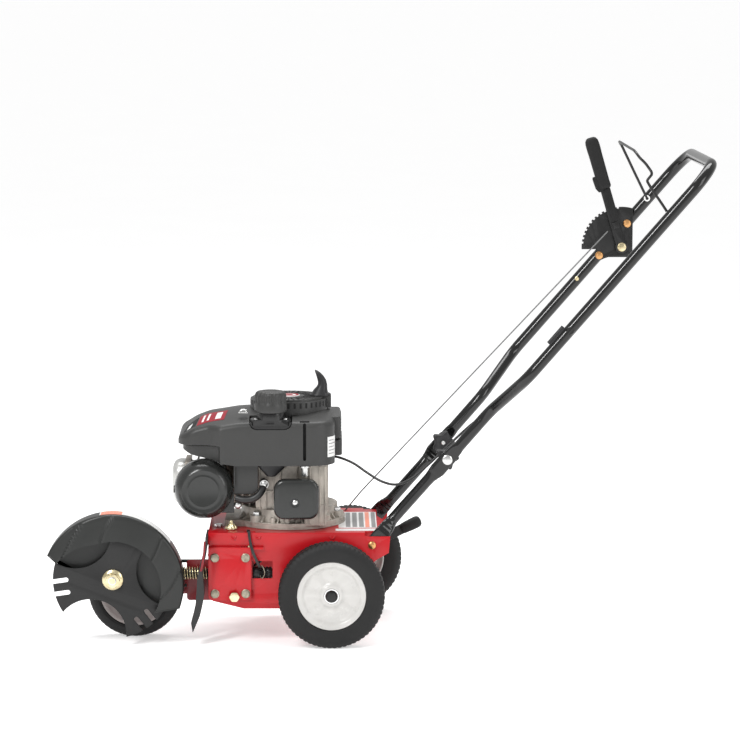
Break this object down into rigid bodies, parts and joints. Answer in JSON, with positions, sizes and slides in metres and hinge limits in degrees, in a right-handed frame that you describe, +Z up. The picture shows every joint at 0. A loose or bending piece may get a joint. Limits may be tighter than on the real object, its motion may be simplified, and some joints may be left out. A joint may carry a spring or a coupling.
{
  "type": "walk-behind lawn edger",
  "caption": "Petrol walk-behind lawn edger: star-shaped blade under a guard on a bevelling head, engine on a pressed deck, wheels and a folding loop handle with depth lever and bail.",
  "frame": {"origin": "on the floor, at the middle of the machine's footprint", "axes": "+X back towards the operator, +Y from the blade side to the far side, +Z up"},
  "size_m": [1.2698, 0.4424, 0.9561],
  "materials": {
    "red_paint": "gloss powder coat",
    "dark_red_paint": "satin paint",
    "black_tube": "gloss powder coat",
    "black_steel": "satin black coat",
    "cast_alloy": "as cast",
    "cover_alloy": "brushed cast",
    "muffler_steel": "heat-proof satin black",
    "shroud_plastic": "fine grain",
    "dark_plastic": "fine grain",
    "guard_plastic": "fine grain",
    "tank_plastic": "smooth",
    "grip_rubber": "ribbed",
    "flap_rubber": "matt",
    "hose_rubber": "satin",
    "belt_rubber": "fabric-wrapped",
    "tyre_rubber": "matt",
    "rim_plastic": "moulded",
    "grey_rim": "satin",
    "zinc": "yellow zinc plate",
    "steel": "bright steel",
    "bare_steel": "grey zinc plate",
    "blade_steel": "satin black",
    "cable_sheath": "smooth",
    "cable_wire": "coated wire",
    "rope_cord": "braided"
  },
  "bodies": {
    "chassis": {"main_frame": "red_paint", "side_bracket": "red_paint", "frame_bolts": "bare_steel", "head_bracket": "dark_red_paint", "idler_spindle": "steel", "rear_axle": "steel", "lower_handle_left": "black_tube", "lower_handle_right": "black_tube", "crankcase": "cast_alloy", "cylinder_block": "cast_alloy", "valve_cover": "cover_alloy", "muffler": "muffler_steel", "carburettor": "cast_alloy", "air_filter_base": "dark_plastic", "air_filter_cover": "shroud_plastic", "engine_shroud": "shroud_plastic", "fuel_tank": "tank_plastic", "recoil_housing": "shroud_plastic", "breather_hose": "hose_rubber", "engine_bolts": "zinc", "dipstick": "steel", "v_belt": "belt_rubber", "mud_flap": "flap_rubber", "bevel_lock_strap": "cable_sheath", "brake_cable": "cable_sheath", "depth_cable": "cable_wire"},
    "handle": {"upper_handle": "black_tube", "depth_quadrant": "black_steel", "handle_bolts": "zinc"},
    "left_knob": {"knob_left": "dark_plastic"},
    "right_knob": {"knob_right": "dark_plastic"},
    "lever": {"depth_lever": "black_steel", "lever_grip": "grip_rubber"},
    "bail_bar": {"bail": "black_steel"},
    "filler_cap": {"fuel_cap": "shroud_plastic"},
    "crank": {"crankshaft": "steel", "engine_pulley": "steel", "flywheel": "cast_alloy"},
    "starter": {"starter_grip": "dark_plastic", "starter_rope": "rope_cord"},
    "head": {"bevel_shaft": "black_steel", "bevel_spring": "zinc", "spindle_housing": "dark_red_paint", "spindle_bearings": "steel", "blade_guard": "guard_plastic"},
    "rotor": {"arbor": "steel", "blade": "blade_steel", "blade_pulley": "steel", "blade_nut": "zinc"},
    "top_idler": {"idler_upper": "dark_plastic"},
    "low_idler": {"idler_lower": "dark_plastic"},
    "wheel_arm": {"front_arm": "dark_red_paint", "front_axle": "steel"},
    "front_wheel": {"front_tyre": "tyre_rubber", "front_rim": "grey_rim"},
    "left_wheel": {"left_tyre": "tyre_rubber", "left_rim": "rim_plastic"},
    "curb_arm": {"curb_bracket": "black_steel"},
    "right_wheel": {"right_tyre": "tyre_rubber", "right_rim": "rim_plastic"}
  },
  "joints": [
    {"name": "handle_fold", "type": "hinge", "parent": "chassis", "child": "handle", "pos_m": [0.1304, -0.00225, 0.354], "axis": [0, -1, 0], "range_deg": [0, 125], "deforming": ["brake_cable", "depth_cable"]},
    {"name": "left_knob_turn", "type": "hinge", "parent": "handle", "child": "left_knob", "pos_m": [0.1304, -0.10175, 0.354], "axis": [0, 1, 0], "continuous": true},
    {"name": "right_knob_turn", "type": "hinge", "parent": "handle", "child": "right_knob", "pos_m": [0.1304, 0.09725, 0.354], "axis": [0, 1, 0], "continuous": true},
    {"name": "depth_lever_turn", "type": "hinge", "parent": "handle", "child": "lever", "pos_m": [0.4906, 0.18725, 0.7338], "axis": [0, -1, 0], "range_deg": [0, 34]},
    {"name": "bail_squeeze", "type": "hinge", "parent": "handle", "child": "bail_bar", "pos_m": [0.5402, -0.00225, 0.831], "axis": [0, 1, 0], "range_deg": [0, 60], "stiffness_Nm_per_rad": 0.6, "springref_deg": -14.32},
    {"name": "fuel_cap_turn", "type": "hinge", "parent": "chassis", "child": "filler_cap", "pos_m": [-0.2078, -0.10475, 0.46], "axis": [0, 0, 1], "range_deg": [0, 270]},
    {"name": "crank_spin", "type": "hinge", "parent": "chassis", "child": "crank", "pos_m": [-0.1738, -0.00175, 0.3], "axis": [0, 0, 1], "continuous": true},
    {"name": "starter_pull", "type": "slide", "parent": "chassis", "child": "starter", "axis": [0, 0, 1], "range_m": [0, 0.085]},
    {"name": "bevel_turn", "type": "hinge", "parent": "chassis", "child": "head", "pos_m": [-0.3918, -0.12075, 0.134], "axis": [1, 0, 0], "range_deg": [-12, 12], "deforming": ["v_belt"]},
    {"name": "blade_spin", "type": "hinge", "parent": "head", "child": "rotor", "pos_m": [-0.5098, -0.13675, 0.129], "axis": [0, 1, 0], "continuous": true},
    {"name": "top_idler_spin", "type": "hinge", "parent": "chassis", "child": "top_idler", "pos_m": [-0.3098, -0.07225, 0.153], "axis": [0, 0, 1], "continuous": true},
    {"name": "low_idler_spin", "type": "hinge", "parent": "chassis", "child": "low_idler", "pos_m": [-0.3098, -0.07225, 0.105], "axis": [0, 0, 1], "continuous": true},
    {"name": "depth_swing", "type": "hinge", "parent": "chassis", "child": "wheel_arm", "pos_m": [-0.2778, -0.00225, 0.093], "axis": [0, 1, 0], "range_deg": [0, 22]},
    {"name": "front_wheel_spin", "type": "hinge", "parent": "wheel_arm", "child": "front_wheel", "pos_m": [-0.4728, -0.06375, 0.0905], "axis": [0, 1, 0], "continuous": true},
    {"name": "left_wheel_spin", "type": "hinge", "parent": "chassis", "child": "left_wheel", "pos_m": [-0.0918, -0.17425, 0.102], "axis": [0, 1, 0], "continuous": true},
    {"name": "curb_swing", "type": "hinge", "parent": "chassis", "child": "curb_arm", "pos_m": [-0.0918, 0.13525, 0.102], "axis": [0, 1, 0], "range_deg": [0, 50]},
    {"name": "right_wheel_spin", "type": "hinge", "parent": "curb_arm", "child": "right_wheel", "pos_m": [-0.0522, 0.16725, 0.111], "axis": [0, 1, 0], "continuous": true}
  ],
  "couplings": [
    {"joint": "depth_lever_turn", "follows": "depth_swing", "ratio": 1.5455},
    {"joint": "blade_spin", "follows": "crank_spin", "ratio": 1},
    {"joint": "top_idler_spin", "follows": "crank_spin", "ratio": 1},
    {"joint": "low_idler_spin", "follows": "crank_spin", "ratio": -1}
  ]
}
